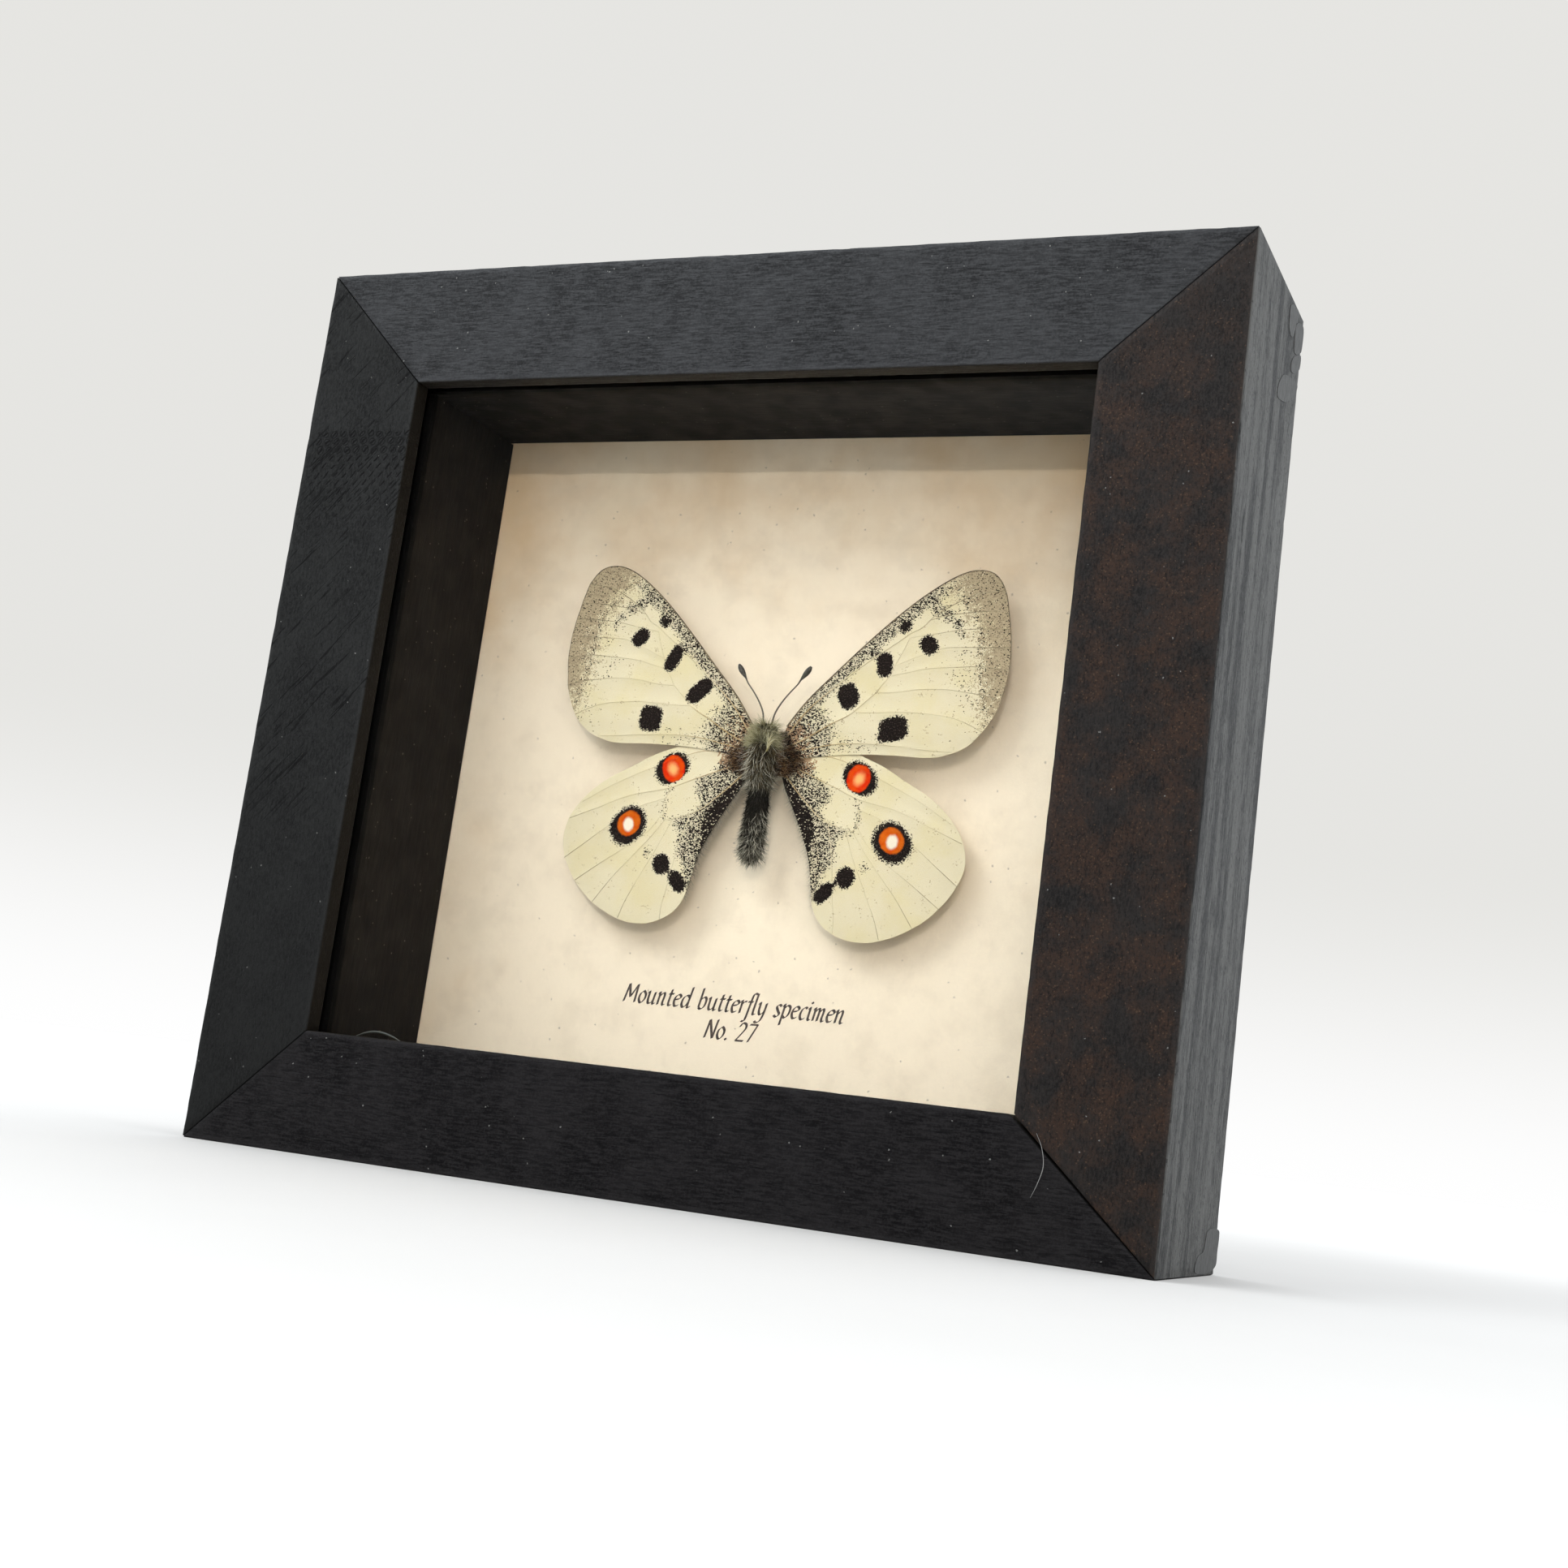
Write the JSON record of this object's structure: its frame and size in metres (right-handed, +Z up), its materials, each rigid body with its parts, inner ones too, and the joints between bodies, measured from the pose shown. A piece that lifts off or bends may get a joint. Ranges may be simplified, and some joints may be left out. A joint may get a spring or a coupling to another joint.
{
  "type": "framed butterfly specimen",
  "caption": "Small glazed box frame of black-stained wood with a spread cream butterfly, black spots and red eyespots, fixed on a mottled cream card.",
  "frame": {"origin": "middle of the bottom of the whole object, on the surface that it stands on", "axes": "+X to the right seen from the front, +Y from the front face to the back, +Z up"},
  "size_m": [0.165, 0.0368, 0.151],
  "materials": {
    "black_stained_wood": "matt black stain, open grain",
    "glass": "clear float glass",
    "black_strip": "brown-black paint, satin",
    "cream_card": "matt, mottled like old parchment",
    "grey_board": "matt grey board",
    "black_tape": "matt crepe paper tape",
    "zinc_steel": "zinc plated",
    "dark_fur": "soft hair, black and olive grey",
    "cream_wing": "matt scales, cream with black and red marks",
    "dark_horn": "dark horn",
    "clear_glue": "clear hot glue"
  },
  "bodies": {
    "root": {"frame_top": "black_stained_wood", "frame_bottom": "black_stained_wood", "frame_left": "black_stained_wood", "frame_right": "black_stained_wood", "glass": "glass", "spacer_top": "black_strip", "spacer_bottom": "black_strip", "spacer_left": "black_strip", "spacer_right": "black_strip", "specimen_card": "cream_card", "backboard": "grey_board", "tape_top": "black_tape", "tape_bottom": "black_tape", "tape_left": "black_tape", "tape_right": "black_tape", "hanger": "zinc_steel", "hanger_nail_left": "zinc_steel", "hanger_nail_right": "zinc_steel", "body": "dark_fur", "forewing_left": "cream_wing", "forewing_right": "cream_wing", "hindwing_left": "cream_wing", "hindwing_right": "cream_wing", "antenna_left": "dark_horn", "antenna_right": "dark_horn", "glue_dab": "clear_glue"}
  },
  "joints": []
}
